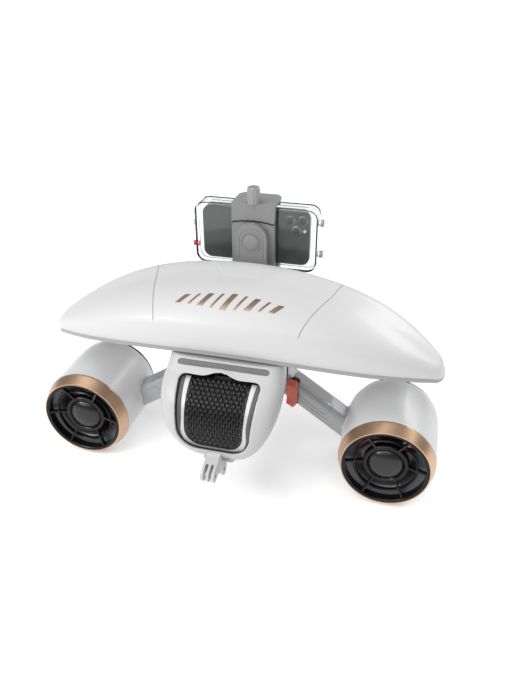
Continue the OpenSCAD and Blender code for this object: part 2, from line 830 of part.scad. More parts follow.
// Section of the float at span x, drawn smaller by inset
function float_ring(x, inset) = let (
        u = abs(x) / float_half_span,
        y0 = nose_y(u) + inset,
        y1 = tail_y(u) - inset,
        z0 = under_z(u),
        z1 = crown_z(u) - inset,
        nose_z = z0 + 0.3 * (crown_z(u) - z0),
        yc = y0 + 0.62 * (y1 - y0),
        yb = band_y(u) + inset,
        band_z = z0 + min(5.6, 0.24 * (crown_z(u) - z0)),
        back_lip = 6 * (1 - u * u) + 0.5)
    concat(
        [[x, yb, z0]],
        [for (i = [0:2]) let (a = 90 - 30 * i) [x, yb - (yb - y0) * cos(a), nose_z - (nose_z - band_z) * sin(a)]],
        [[x, y0, nose_z]],
        [for (i = [1:9]) let (a = 10 * i, c = pow(cos(a), 2 / 2.8), s = pow(sin(a), 2 / 2.8))
            [x, yc - (yc - y0) * c, nose_z + (z1 - nose_z) * s - 0.06 * (yc - y0) * c * s]],
        [for (i = [1:7]) let (a = 90 - 12.8 * i, c = pow(max(0, cos(a)), 2 / 5), s = pow(max(0, sin(a)), 2 / 5))
            [x, yc + (y1 - yc) * c, nose_z + (z1 - nose_z) * s + 0.19 * (y1 - yc) * c * s]],
        [for (i = [0:3]) let (a = 30 * i) [x, y1 - back_lip * (1 - cos(a)), nose_z - (nose_z - z0) * sin(a)]]);

function float_rings(inset, span) =
    [for (i = [-14:14]) float_ring(span * sin(90 * i / 14.2), inset)];

module float_cover() {
    color([0.96, 0.96, 0.97]) place() difference() {
        loft(float_rings(0, float_half_span));
        translate([0, 0, -0.6]) loft(float_rings(float_wall, float_half_span - 12));
    }
}

// Bottom tray, let in between the cover's lips, on four bosses over the pod
module float_base() {
    color([0.7, 0.71, 0.72]) place() difference() {
        union() {
            intersection() {
                loft(float_rings(float_wall + 0.3, float_half_span - 14));
                loft([for (i = [-14:14]) let (x = (float_half_span - 14) * sin(90 * i / 14.2),
                        z = under_z(abs(x) / float_half_span))
                    [[x, -50, z + 0.3], [x, -50, z + 3], [x, 150, z + 3], [x, 150, z + 0.3]]]);
            }
            float_screw_axis(pod_top + 0.05, pod_top + 5.6, 6);
        }
        float_screw_axis(100, pod_top + 20, 2.1);
    }
}

module float_screw_axis(from, to, r) {
    for (x = [-40, 40]) for (y = [28, 82]) translate([x, y, from]) cylinder(r = r, h = to - from);
}

module float_screws() {
    color([0.7, 0.7, 0.72]) place() {
        float_screw_axis(pod_top - pod_wall - 2.3, pod_top - pod_wall - 0.1, 3.6);
        float_screw_axis(pod_top - pod_wall - 0.2, pod_top + 5.4, 2);
    }
}

// --------------------------------------------------------------- phone clamp

module mount_post() {
    foot_low = 88;
    foot_top = 109;
    color([0.62, 0.62, 0.63]) place() difference() {
        union() {
            along_y(post_y, post_y + post_t) union() {
                translate([0, post_top - post_half_w]) circle(post_half_w);
                translate([-post_half_w, foot_low])
                    square([2 * post_half_w, post_top - post_half_w - foot_low]);
            }
            translate([-post_half_w, pod_rear + 0.2, foot_low])
                cube([2 * post_half_w, post_y - pod_rear, foot_top - foot_low]);
        }
        translate([0, 0, button_z]) along_y(post_y - 1, post_y + 4.8) circle(10.2);
        translate([-8.2, post_y + 6, clamp_low + 2]) cube([16.4, 10, 100]);
        for (s = [-1, 1]) translate([s * post_screw_x, 0, post_screw_z]) {
            along_y(pod_rear - 6, post_y + post_t) circle(2.05);
            along_y(post_y + post_t - 3, post_y + post_t + 2) circle(3.6);
        }
    }
}

module release_button() {
    color([0.6, 0.6, 0.61]) place() translate([0, 0, button_z]) along_y(post_y - 0.8, post_y + 2.4) circle(10.1);
}

// Rear outline of a jaw in plan, with chamfered back corners
module jaw_plan(from) {
    chamfer = 6;
    polygon([[-clamp_half_w, from], [clamp_half_w, from], [clamp_half_w, clamp_rear - chamfer],
        [clamp_half_w - chamfer, clamp_rear], [-clamp_half_w + chamfer, clamp_rear],
        [-clamp_half_w, clamp_rear - chamfer]]);
}

arch_r = 115.9;

module clamp_body() {
    shelf_t = 6;
    lip_y0 = 167.5;
    color([0.62, 0.62, 0.63]) place() difference() {
        union() {
            intersection() {
                translate([-clamp_half_w, clamp_y, clamp_low])
                    cube([2 * clamp_half_w, clamp_back - clamp_y, jaw_z + 1 - clamp_low]);
                translate([0, 0, jaw_z + 1.4 - arch_r]) along_y(clamp_y - 1, clamp_back + 1)
                    circle(arch_r, $fn = 200);
            }
            translate([0, 0, clamp_low]) linear_extrude(shelf_t) jaw_plan(clamp_back - 1);
            translate([0, 0, clamp_low]) linear_extrude(14) intersection() {
                jaw_plan(lip_y0);
                translate([-50, lip_y0]) square([100, 20]);
            }
            translate([-8, post_y + 6.2, clamp_low + 6]) cube([16, 4, 36]);
            for (s = [-1, 1]) translate([s * 17, screw_y, jaw_z - 6]) cylinder(r = 2.5, h = 20);
        }
        translate([0, screw_y, 186]) cylinder(r = 2.56, h = 60);
    }
}

module clamp_jaw() {
    plate_t = 4.4;
    lip_y0 = 167.5;
    color([0.6, 0.6, 0.61]) place() difference() {
        union() {
            difference() {
                translate([-clamp_half_w, clamp_y, jaw_z - 4])
                    cube([2 * clamp_half_w, clamp_back - clamp_y, jaw_top - jaw_z + 4]);
                translate([0, 0, jaw_z + 2.6 - arch_r]) along_y(clamp_y - 1, clamp_back + 1)
                    circle(arch_r, $fn = 200);
            }
            translate([0, 0, jaw_top - plate_t]) linear_extrude(plate_t) jaw_plan(clamp_back - 1);
            translate([0, 0, jaw_top - 13]) linear_extrude(13) intersection() {
                jaw_plan(lip_y0);
                translate([-50, lip_y0]) square([100, 20]);
            }
        }
        translate([0, screw_y, jaw_z - 6]) cylinder(r = 2.6, h = 40);
        for (s = [-1, 1]) translate([s * 17, screw_y, jaw_z - 6]) cylinder(r = 2.56, h = 24);
    }
}

module clamp_knob() {
    knob_r = 7.6;
    knob_h = 19;
    flutes = 10;
    color([0.68, 0.68, 0.69]) place() translate([0, screw_y, 0]) {
        difference() {
            union() {
                translate([0, 0, jaw_top + 0.2]) cylinder(r = knob_r, h = knob_h - 1.2);
                translate([0, 0, jaw_top + knob_h - 1]) cylinder(r1 = knob_r, r2 = knob_r - 1.2, h = 1.2);
            }
            for (i = [0:flutes - 1]) rotate([0, 0, i * 360 / flutes])
                translate([knob_r + 0.7, 0, jaw_top + 1.6]) cylinder(r = 1.6, h = knob_h, $fn = 16);
        }
        translate([0, 0, 190]) cylinder(r = 2.5, h = jaw_top + 1 - 190);
    }
}

module lower_pad() {
    color([0.08, 0.08, 0.08]) place() translate([-20, 141, clamp_low + 6.1]) cube([40, 22, 2.6]);
}

module upper_pad() {
    color([0.08, 0.08, 0.08]) place() translate([-20, 141, case_top + 0.15]) cube([40, 22, 1]);
}

// ------------------------------------------------------- phone and clear case

module case_block(inset, from, to) {
    half_h = (case_top - case_low) / 2;
    translate([0, 0, (case_top + case_low) / 2]) along_y(from, to)
        polygon(rounded_box(case_half_w - inset, half_h - inset, 12 - inset));
}

module case_front() {
    color([0.85, 0.9, 0.92, 0.35]) place() difference() {
        union() {
            case_block(0, case_y, case_split);
            for (z = [190, 229]) translate([case_half_w - 1, 146, z]) rotate([0, 90, 0]) cylinder(r = 3.6, h = 7.5);
        }
        case_block(case_wall, case_y + case_wall, case_split + 1);
        translate([-case_half_w - 2, 146, 189]) rotate([0, 90, 0]) cylinder(r = 3.3, h = 8);
    }
}

module case_back() {
    color([0.85, 0.9, 0.92, 0.35]) place() difference() {
        case_block(0, case_split + 0.6, case_rear);
        case_block(case_wall, case_split, case_rear - case_wall);
    }
}

module case_gasket() {
    color([0.9, 0.9, 0.9]) place() difference() {
        case_block(0.4, case_split + 0.05, case_split + 0.55);
        case_block(case_wall, case_split - 1, case_split + 2);
    }
}

module case_button() {
    color([0.75, 0.08, 0.08]) place() translate([-case_half_w - 4.5, 146, 189]) rotate([0, 90, 0])
        cylinder(r = 3.2, h = 7.5);
}

module phone_body() {
    half_w = 66.5;
    half_h = 33.2;
    back_y = 143.4;
    mid_z = 207.6;
    island_half = 12;
    color([0.25, 0.29, 0.27]) place() {
        translate([0, 0, mid_z]) along_y(back_y, back_y + 8) polygon(rounded_box(half_w, half_h, 10));
        translate([half_w - island_half - 4, 0, mid_z + half_h - island_half - 4])
            along_y(back_y - 1, back_y + 1) polygon(rounded_box(island_half, island_half, 6));
    }
}

pod_front_shell();
pod_rear_shell();
pod_seal();
top_slot_insert();
battery_bay();
control_board();
display_lens();
power_button();
camera_bracket();
bracket_screws();
pod_screws();
mount_post();
float_cover();
float_base();
float_screws();
arm_shell(-1);  // arm_shell_left
arm_shell(1);  // arm_shell_right
arm_covers();
grip_pads();
motor_cables();
trigger(-1);  // trigger_left
trigger(1);  // trigger_right
trigger_guides();
trigger_springs();
nacelle_shell(-1);  // nacelle_shell_left
nacelle_shell(1);  // nacelle_shell_right
trim_ring(-1);  // trim_ring_left
trim_ring(1);  // trim_ring_right
duct(-1);  // duct_left
duct(1);  // duct_right
front_guard(-1);  // front_guard_left
front_guard(1);  // front_guard_right
hub_dome(-1);  // hub_dome_left
hub_dome(1);  // hub_dome_right
rear_guard(-1);  // rear_guard_left
rear_guard(1);  // rear_guard_right
motor_housing(-1);  // motor_housing_left
motor_housing(1);  // motor_housing_right
motor_stators();
motor_bearings();
rotor(-1);  // rotor_left
rotor(1);  // rotor_right
propeller(-1);  // propeller_left
propeller(1);  // propeller_right
battery_case();
battery_frame();
battery_pad();
battery_cells();
battery_latch();
release_button();
clamp_body();
clamp_jaw();
clamp_knob();
lower_pad();
upper_pad();
case_front();
case_back();
case_gasket();
case_button();
phone_body();
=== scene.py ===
"""Visual model of a twin-thruster underwater scooter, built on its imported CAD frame."""
import math
from types import SimpleNamespace

import bmesh
import bpy
import numpy as np
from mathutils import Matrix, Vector


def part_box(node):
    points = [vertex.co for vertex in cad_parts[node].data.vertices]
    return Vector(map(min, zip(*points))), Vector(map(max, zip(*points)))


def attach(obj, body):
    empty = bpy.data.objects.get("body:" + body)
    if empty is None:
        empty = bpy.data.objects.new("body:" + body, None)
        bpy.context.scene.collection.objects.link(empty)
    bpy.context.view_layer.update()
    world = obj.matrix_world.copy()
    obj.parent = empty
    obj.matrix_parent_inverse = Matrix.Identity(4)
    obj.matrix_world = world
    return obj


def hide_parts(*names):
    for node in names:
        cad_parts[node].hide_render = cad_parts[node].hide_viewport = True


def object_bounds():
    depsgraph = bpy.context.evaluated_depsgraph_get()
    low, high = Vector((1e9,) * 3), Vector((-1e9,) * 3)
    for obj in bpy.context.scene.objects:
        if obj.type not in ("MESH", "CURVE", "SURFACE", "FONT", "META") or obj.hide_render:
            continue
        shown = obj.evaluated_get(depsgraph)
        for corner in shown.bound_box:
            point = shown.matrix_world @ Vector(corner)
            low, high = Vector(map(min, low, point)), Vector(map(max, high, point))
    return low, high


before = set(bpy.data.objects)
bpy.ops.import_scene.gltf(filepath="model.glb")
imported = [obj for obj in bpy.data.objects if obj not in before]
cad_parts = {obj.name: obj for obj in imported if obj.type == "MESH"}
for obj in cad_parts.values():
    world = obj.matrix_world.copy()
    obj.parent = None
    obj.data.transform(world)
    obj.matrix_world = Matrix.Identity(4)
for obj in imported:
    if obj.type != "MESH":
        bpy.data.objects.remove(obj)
cad_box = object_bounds()

MM = 0.001
SIDES = ((-1, "left"), (1, "right"))

# All sizes are in mm, from the thrusters' front plane and the height of their axes
MID_Y, AXIS_Z = 50.85, 55.6
THRUSTER_X = 187.9


def place(points):
    """Points in the part's own mm, as metres in the row frame."""
    p = np.asarray(points, float).reshape(-1, 3)
    return (p + np.array([0.0, -MID_Y, AXIS_Z])) * MM


# ------------------------------------------------------------------ materials

def material(name, color, rough=0.4, metal=0.0, coat=0.0, spread=0.06, vary=0.04, grain=900.0, bump=0.05,
             depth=0.00006, stretch=(1, 1, 1), specular=0.5, transmission=0.0, ior=1.46, sub=0.0):
    """Procedural plastic, rubber, paint or metal: tone, roughness and fine relief all vary."""
    m = bpy.data.materials.new(name)
    m.use_nodes = True
    t = m.node_tree
    n = t.nodes
    b = n["Principled BSDF"]
    b.inputs["Metallic"].default_value = metal
    b.inputs["Coat Weight"].default_value = coat
    b.inputs["Coat Roughness"].default_value = 0.08
    b.inputs["Specular IOR Level"].default_value = specular
    b.inputs["IOR"].default_value = ior
    b.inputs["Transmission Weight"].default_value = transmission
    if sub:
        b.inputs["Subsurface Weight"].default_value = sub
        b.inputs["Subsurface Radius"].default_value = (0.004, 0.002, 0.001)
    coord = n.new("ShaderNodeTexCoord")
    place_node = n.new("ShaderNodeMapping")
    place_node.inputs["Scale"].default_value = stretch
    t.links.new(coord.outputs["Object"], place_node.inputs["Vector"])
    wide = n.new("ShaderNodeTexNoise")
    wide.inputs["Scale"].default_value = grain * 0.03
    wide.inputs["Detail"].default_value = 4.0
    fine = n.new("ShaderNodeTexNoise")
    fine.inputs["Scale"].default_value = grain
    fine.inputs["Detail"].default_value = 3.0
    t.links.new(coord.outputs["Object"], wide.inputs["Vector"])
    t.links.new(place_node.outputs["Vector"], fine.inputs["Vector"])
    tone = n.new("ShaderNodeMix")
    tone.data_type = "RGBA"
    low = [max(0.0, c * (1.0 - vary)) for c in color]
    high = [min(1.0, c * (1.0 + vary)) for c in color]
    tone.inputs["A"].default_value = (*low, 1)
    tone.inputs["B"].default_value = (*high, 1)
    t.links.new(wide.outputs["Fac"], tone.inputs["Factor"])
    t.links.new(tone.outputs["Result"], b.inputs["Base Color"])
    span = n.new("ShaderNodeMapRange")
    span.inputs["From Min"].default_value = 0.3
    span.inputs["From Max"].default_value = 0.7
    span.inputs["To Min"].default_value = max(0.02, rough - spread)
    span.inputs["To Max"].default_value = min(1.0, rough + spread)
    t.links.new(fine.outputs["Fac"], span.inputs["Value"])
    t.links.new(span.outputs["Result"], b.inputs["Roughness"])
    if bump:
        relief = n.new("ShaderNodeBump")
        relief.inputs["Strength"].default_value = bump
        relief.inputs["Distance"].default_value = depth
        t.links.new(fine.outputs["Fac"], relief.inputs["Height"])
        t.links.new(relief.outputs["Normal"], b.inputs["Normal"])
    return m


M = {}
M["white"] = material("float_white", (0.60, 0.60, 0.605), 0.42, coat=0.08, grain=60, bump=0.0, spread=0.004,
                      vary=0.004)
# darker grey of the band along the float's lips: painted shade, where the band faces down and away from the
# light
M["lip"] = material("float_lip_painted_shade", (0.34, 0.34, 0.345), 0.36, grain=500, bump=0.05, vary=0.03)
# the pod's white is darker than the float's white: painted shade, for the float's shadow over the pod's front
M["shell"] = material("pod_white_painted_shade", (0.50, 0.50, 0.505), 0.38, coat=0.06, grain=500, bump=0.01, vary=0.006)
M["silver"] = material("nacelle_silver", (0.62, 0.622, 0.627), 0.46, metal=0.08, grain=2600, bump=0.05,
                       spread=0.05, vary=0.03, coat=0.1)
M["arm"] = material("arm_grey", (0.36, 0.363, 0.37), 0.42, metal=0.2, grain=1800, bump=0.06, vary=0.03)
M["grip"] = material("grip_grey", (0.33, 0.333, 0.34), 0.55, grain=2600, bump=0.22, depth=0.00012, vary=0.03)
M["copper"] = material("brushed_copper", (0.56, 0.375, 0.25), 0.34, metal=1.0, grain=1400, bump=0.07,
                       spread=0.06, vary=0.06, stretch=(0.25, 5, 0.25))
M["black"] = material("gloss_black", (0.006, 0.006, 0.0065), 0.2, specular=0.28, grain=700, bump=0.02,
                      spread=0.04)
M["dome"] = material("dome_black", (0.009, 0.009, 0.0095), 0.24, specular=0.55, grain=700, bump=0.02,
                     spread=0.04)
M["duct"] = material("duct_grey", (0.075, 0.077, 0.082), 0.3, grain=900, bump=0.06)
M["prop"] = material("prop_red", (0.36, 0.035, 0.02), 0.28, coat=0.3, grain=800, bump=0.03, sub=0.1)
M["trigger"] = material("trigger_red", (0.55, 0.065, 0.022), 0.24, coat=0.5, grain=800, bump=0.03, vary=0.05,
                        sub=0.2)
M["clamp"] = material("clamp_grey", (0.245, 0.245, 0.25), 0.5, grain=2300, bump=0.3, depth=0.00012, vary=0.05,
                      spread=0.1)
M["knob"] = material("knob_grey", (0.34, 0.34, 0.345), 0.42, metal=0.4, grain=1500, bump=0.1,
                     stretch=(1, 1, 8))
M["slot"] = material("slot_grey", (0.14, 0.14, 0.145), 0.5, grain=1200, bump=0.12, vary=0.06)
# grey of the battery bay; the same dark grey is painted shade on the strips beside the battery's rails
M["bay_and_painted_shade"] = material("bay_grey_and_painted_shade", (0.09, 0.09, 0.093), 0.5, grain=1200, bump=0.1, vary=0.08)
M["battery"] = material("battery_black", (0.02, 0.02, 0.021), 0.45, specular=0.3, grain=1500, bump=0.15)
M["rubber"] = material("knurled_rubber", (0.005, 0.005, 0.0055), 0.24, specular=0.6, grain=1500, bump=0.15,
                       spread=0.1)
M["rail"] = material("rail_silver", (0.56, 0.565, 0.57), 0.36, metal=0.2, grain=1600, bump=0.05,
                     stretch=(3, 1, 0.4))
M["seal"] = material("seal_rubber", (0.02, 0.02, 0.02), 0.6, grain=1500, bump=0.2)
M["steel"] = material("stainless", (0.62, 0.62, 0.63), 0.28, metal=1.0, grain=1500, bump=0.08,
                      stretch=(1, 1, 6))
M["winding"] = material("winding", (0.55, 0.26, 0.11), 0.35, metal=0.8, grain=2500, bump=0.4,
                        stretch=(1, 1, 6))
M["cable"] = material("cable", (0.02, 0.02, 0.02), 0.5, grain=1500, bump=0.2)
M["board"] = material("board", (0.02, 0.13, 0.05), 0.4, grain=900, bump=0.2)
M["cell"] = material("cell", (0.05, 0.14, 0.3), 0.4, grain=900, bump=0.05)
M["display"] = material("display", (0.01, 0.01, 0.014), 0.08, coat=1.0, grain=400, bump=0.0, spread=0.02)
M["red"] = material("shutter_red", (0.55, 0.02, 0.02), 0.25, coat=0.4, grain=900, bump=0.04, sub=0.1)
M["phone"] = material("phone_green", (0.055, 0.070, 0.062), 0.30, coat=0.25, grain=3200, bump=0.04, vary=0.05)
M["phone_edge"] = material("phone_edge", (0.30, 0.32, 0.30), 0.2, metal=1.0, grain=1500, bump=0.04)
M["lens"] = material("lens_black", (0.006, 0.006, 0.008), 0.05, coat=1.0, grain=400, bump=0.0, spread=0.02)
M["clear"] = material("clear_case", (0.97, 0.985, 0.99), 0.0, grain=300, bump=0.0, transmission=1.0,
                      ior=1.38, spread=0.0, vary=0.005)
M["glow"] = material("flash_white", (0.85, 0.83, 0.75), 0.3, grain=900, bump=0.02)
M["bronze"] = material("bronze_print", (0.40, 0.28, 0.19), 0.3, metal=0.8, grain=1800, bump=0.04, vary=0.12)
M["line"] = material("seam_shadow", (0.16, 0.16, 0.165), 0.6, grain=900, bump=0.05)


def use(obj, key):
    obj.data.materials.clear()
    obj.data.materials.append(M[key])


def smooth(obj, angle=38.0):
    me = obj.data
    me.shade_smooth()
    me.set_sharp_from_angle(angle=math.radians(angle))


def soften(obj, width):
    """Rounds an object's hard edges, as moulding and machining leave them."""
    b = obj.modifiers.new("soft_edges", "BEVEL")
    b.width = width * MM
    b.segments = 2
    b.limit_method = "ANGLE"
    b.angle_limit = math.radians(40.0)
    b.harden_normals = False
    b.use_clamp_overlap = True


# Material of each CAD node, and of each node that comes as a left and a right one
SINGLE = {
    "pod_seal": "seal", "top_slot_insert": "slot", "battery_bay": "bay_and_painted_shade", "control_board": "board",
    "display_lens": "display", "power_button": "slot", "camera_bracket": "shell", "bracket_screws": "steel",
    "pod_screws": "steel", "mount_post": "clamp", "float_base": "arm", "float_screws": "steel",
    "arm_covers": "arm", "grip_pads": "grip", "motor_cables": "cable", "trigger_guides": "slot",
    "trigger_springs": "steel", "motor_stators": "winding", "motor_bearings": "steel",
    "battery_case": "battery", "battery_frame": "rail", "battery_pad": "rubber", "battery_cells": "cell",
    "battery_latch": "battery", "release_button": "clamp", "clamp_body": "clamp", "clamp_jaw": "clamp",
    "clamp_knob": "knob", "lower_pad": "seal", "upper_pad": "seal", "case_front": "clear",
    "case_back": "clear", "case_gasket": "seal", "case_button": "red", "phone_body": "phone",
    "float_cover": "white", "pod_front_shell": "shell", "pod_rear_shell": "shell",
}
PAIRED = {
    "arm_shell": "arm", "trigger": "trigger", "nacelle_shell": "silver", "trim_ring": "copper",
    "duct": "duct",
    "front_guard": "black", "hub_dome": "dome", "rear_guard": "black", "motor_housing": "duct",
    "rotor": "steel", "propeller": "prop",
}
# Width of the soft edges, mm
SOFT_SINGLE = {
    "arm_covers": 0.9, "grip_pads": 0.25, "camera_bracket": 0.6, "mount_post": 0.7, "clamp_body": 0.9,
    "clamp_jaw": 0.9, "release_button": 0.5, "case_front": 0.6, "case_back": 0.9, "phone_body": 1.4,
    "clamp_knob": 0.3, "power_button": 0.5, "display_lens": 0.4, "case_button": 0.5,
}
SOFT_PAIRED = {
    "arm_shell": 0.9, "trigger": 1.0, "front_guard": 0.3, "rear_guard": 0.3, "propeller": 0.3,
    "trim_ring": 0.35,
}


def both_sides(table):
    return {f"{name}_{label}": value for name, value in table.items() for _, label in SIDES}


def dress_nodes():
    looks = SINGLE | both_sides(PAIRED)
    soft = SOFT_SINGLE | both_sides(SOFT_PAIRED)
    for name, key in looks.items():
        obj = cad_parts[name]
        use(obj, key)
        smooth(obj)
        if name in soft:
            soften(obj, soft[name])


dress_nodes()


# ------------------------------------------------------------- mesh utilities

def add_object(name, data):
    o = bpy.data.objects.new(name, data)
    bpy.context.scene.collection.objects.link(o)
    return o


def mesh_object(name, verts, faces, key, body="root", angle=50.0, metres=False):
    """A visual piece that rides a body, from vertices in the part's mm or in metres."""
    me = bpy.data.meshes.new(name)
    me.from_pydata([tuple(v) for v in (verts if metres else place(verts))], [], [tuple(f) for f in faces])
    me.validate()
    me.update()
    o = add_object(name, me)
    use(o, key)
    smooth(o, angle)
    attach(o, body)
    return o


def grid_faces(rows, cols, close=False):
    """Quads of a grid of vertices; close joins its last column to the first."""
    out = []
    for i in range(rows - 1):
        for j in range(cols if close else cols - 1):
            k = (j + 1) % cols
            out.append((i * cols + j, i * cols + k, (i + 1) * cols + k, (i + 1) * cols + j))
    return out


def finish_mesh(obj):
    """Merges doubled vertices and turns the normals outwards."""
    bm = bmesh.new()
    bm.from_mesh(obj.data)
    bmesh.ops.remove_doubles(bm, verts=bm.verts, dist=1e-7)
    bmesh.ops.recalc_face_normals(bm, faces=bm.faces)
    bm.to_mesh(obj.data)
    bm.free()


def bake(obj):
    """Applies the modifiers, so that what is left is a plain mesh."""
    deps = bpy.context.evaluated_depsgraph_get()
    me = bpy.data.meshes.new_from_object(obj.evaluated_get(deps))
    old = obj.data
    obj.modifiers.clear()
    obj.data = me
    bpy.data.meshes.remove(old)


def thicken(obj, thickness, offset=-1.0):
    s = obj.modifiers.new("thickness", "SOLIDIFY")
    s.thickness = thickness * MM
    s.offset = offset


def solid(name, verts, faces):
    """A plain closed mesh in metres, to be cut or to cut with."""
    me = bpy.data.meshes.new(name)
    me.from_pydata([tuple(v) for v in verts], [], faces)
    me.update()
    o = add_object(name, me)
    finish_mesh(o)
    return o


def boolean(obj, tool, operation="DIFFERENCE"):
    """Cuts obj with tool, which is used up."""
    m = obj.modifiers.new("cut", "BOOLEAN")
    m.operation = operation
    m.solver = "EXACT"
    m.object = tool
    bake(obj)
    bpy.data.objects.remove(tool)


def remesh(obj, voxel, rounds):
    """Even small faces all over, with the cut edges relaxed."""
    r = obj.modifiers.new("voxels", "REMESH")
    r.mode = "VOXEL"
    r.voxel_size = voxel * MM
    s = obj.modifiers.new("relax", "SMOOTH")
    s.factor = 0.5
    s.iterations = rounds
    bake(obj)
    obj.data.shade_smooth()


def prism(name, outline, to_world, low, high):
    """Closed prism of a plan outline between two heights; to_world maps local points to metres."""
    n = len(outline)
    pts = [(x, y, low) for x, y in outline] + [(x, y, high) for x, y in outline]
    faces = [tuple(range(n))[::-1], tuple(range(n, 2 * n))]
    faces += grid_faces(2, n, close=True)
    return solid(name, to_world(pts), faces)


def turned(profile, centre, axis, n):
    """Vertices of a profile of (radius, height along the axis), turned about a world axis."""
    k = "xyz".index(axis)
    i, j = [q for q in range(3) if q != k]
    out = []
    for r, h in profile:
        for a in np.linspace(0, 2 * math.pi, n, endpoint=False):
            p = [0.0, 0.0, 0.0]
            p[i], p[j], p[k] = centre[0] + r * math.cos(a), centre[1] + r * math.sin(a), h
            out.append(p)
    return out


# ---------------------------------------------------------------------- float

HALF_SPAN = 240.0
CROWN, TIP_CROWN = 182.0, 104.0
UNDER, TIP_DROP = 116.6, 29.1
TAIL, TIP_TAIL, TAIL_FROM = 120.4, 43.4, 0.417
TIP_R = 9.0
FRONT_POWER, REAR_POWER = 2.8, 5.0
FRONT_LEAN, REAR_LEAN = 0.06, 0.19
LIP_SHARE = 0.4                 # share of the front lip's parameter that its upright band takes
SEAM_REACH = 100.0              # grid column that follows the panel seam


def float_frame(x):
    """The float's section at span x: its band, nose, tail, underside and crown."""
    u = np.minimum(np.abs(x) / HALF_SPAN, 1.0)
    flat = 1 - u * u
    lip = 7.9 + 26.2 * u * u + 25.3 * u ** 4
    f = SimpleNamespace()
    f.band = lip - 3 * flat - 0.3
    f.nose = lip - 8 * flat - 0.6
    f.tail = TAIL - TIP_TAIL * np.maximum(0, (u - TAIL_FROM) / (1 - TAIL_FROM)) ** 3.1
    f.under = UNDER - TIP_DROP * u * u
    f.crown = CROWN - (CROWN - TIP_CROWN) * u ** 2.2
    f.nose_z = f.under + 0.3 * (f.crown - f.under)
    f.mid = f.nose + 0.62 * (f.tail - f.nose)
    f.back = 6 * flat + 0.5
    f.band_high = np.minimum(5.6, 0.24 * (f.crown - f.under))
    return f


def tip_scale(x):
    """Plan and height shrink over the last few mm, so that the tips are rounded."""
    d = np.clip((np.abs(x) - (HALF_SPAN - TIP_R)) / TIP_R, 0, 0.985)
    return np.sqrt(1 - d * d)


def float_point(x, t):
    """Skin point at span x; t runs 0..4 over front lip, front, rear and rear lip."""
    x, t = np.broadcast_arrays(np.asarray(x, float), np.asarray(t, float))
    f = float_frame(x)
    y = np.zeros_like(x)
    z = np.zeros_like(x)
    k = t < LIP_SHARE
    y[k] = f.band[k]
    z[k] = f.under[k] + f.band_high[k] * t[k] / LIP_SHARE
    k = (t >= LIP_SHARE) & (t < 1)
    a = np.radians(90 * (1 - t[k]) / (1 - LIP_SHARE))
    y[k] = f.band[k] - (f.band - f.nose)[k] * np.cos(a)
    z[k] = f.nose_z[k] - (f.nose_z - f.under - f.band_high)[k] * np.sin(a)
    k = (t >= 1) & (t < 2)
    a = np.radians(90 * (t[k] - 1))
    c, s = np.cos(a) ** (2 / FRONT_POWER), np.sin(a) ** (2 / FRONT_POWER)
    deep = (f.mid - f.nose)[k]
    y[k] = f.mid[k] - deep * c
    z[k] = f.nose_z[k] + (f.crown - f.nose_z)[k] * s - FRONT_LEAN * deep * c * s
    k = (t >= 2) & (t < 3)
    a = np.radians(90 * (3 - t[k]))
    c, s = np.cos(a) ** (2 / REAR_POWER), np.sin(a) ** (2 / REAR_POWER)
    deep = (f.tail - f.mid)[k]
    y[k] = f.mid[k] + deep * c
    z[k] = f.nose_z[k] + (f.crown - f.nose_z)[k] * s + REAR_LEAN * deep * c * s
    k = t >= 3
    a = np.radians(90 * (t[k] - 3))
    y[k] = f.tail[k] - f.back[k] * (1 - np.cos(a))
    z[k] = f.nose_z[k] - (f.nose_z - f.under)[k] * np.sin(a)
    tip = tip_scale(x)
    y = f.mid + (y - f.mid) * tip
    z = f.nose_z + (z - f.nose_z) * tip
    return np.stack([x, y, z], -1)


def float_top(x, y):
    """Height of the skin over a plan point."""
    x, y = np.broadcast_arrays(np.asarray(x, float), np.asarray(y, float))
    f = float_frame(x)
    rise = f.crown - f.nose_z
    c = np.clip((f.mid - y) / (f.mid - f.nose), 0, 1)
    s = (1 - c ** FRONT_POWER) ** (1 / FRONT_POWER)
    front = f.nose_z + rise * s - FRONT_LEAN * (f.mid - f.nose) * c * s
    c = np.clip((y - f.mid) / (f.tail - f.mid), 0, 1)
    rear = f.nose_z + (rise + REAR_LEAN * (f.tail - f.mid) * c) * (1 - c ** REAR_POWER) ** (1 / REAR_POWER)
    return np.where(y < f.mid, front, rear)


def seam_x(y):
    """Span at which the panel seam lies, as it runs back over the float."""
    t = np.clip(y / 121.6, -0.2, 1)
    return 79.5 + 46.5 * t - 9.0 * t * t


def skin_grid():
    """Grid over span and section, closer at the seam, with columns bent to follow it."""
    tip = 215 + 24.95 * np.sin(np.linspace(0, math.pi / 2, 36))
    half = np.concatenate([np.linspace(0, 94, 72)[:-1], np.linspace(94, 106, 49)[:-1],
                           np.linspace(106, 215, 70)[:-1], tip])
    a = np.linspace(0, 1, 40)[:-1]
    t = np.concatenate([np.linspace(0, 0.399, 8), np.linspace(LIP_SHARE, 1, 22)[:-1], 1 + a, 2 + a,
                        3 + np.linspace(0, 0.9999, 10)])
    base = np.concatenate([-half[:0:-1], half])
    base, t = np.meshgrid(base, t, indexing="ij")
    side, reach = np.sign(base), np.abs(base)
    weight = np.interp(reach, [0, 40, 94, 106, 200, 240], [0, 0.35, 1, 1, 0.2, 0])
    x = base.copy()
    for _ in range(4):
        p = float_point(x, t)
        x = base + side * weight * (seam_x(p[..., 1]) - SEAM_REACH)
        x = np.where(reach < 1e-9, 0, x)
    return np.clip(x, -HALF_SPAN + 0.05, HALF_SPAN - 0.05), t, reach


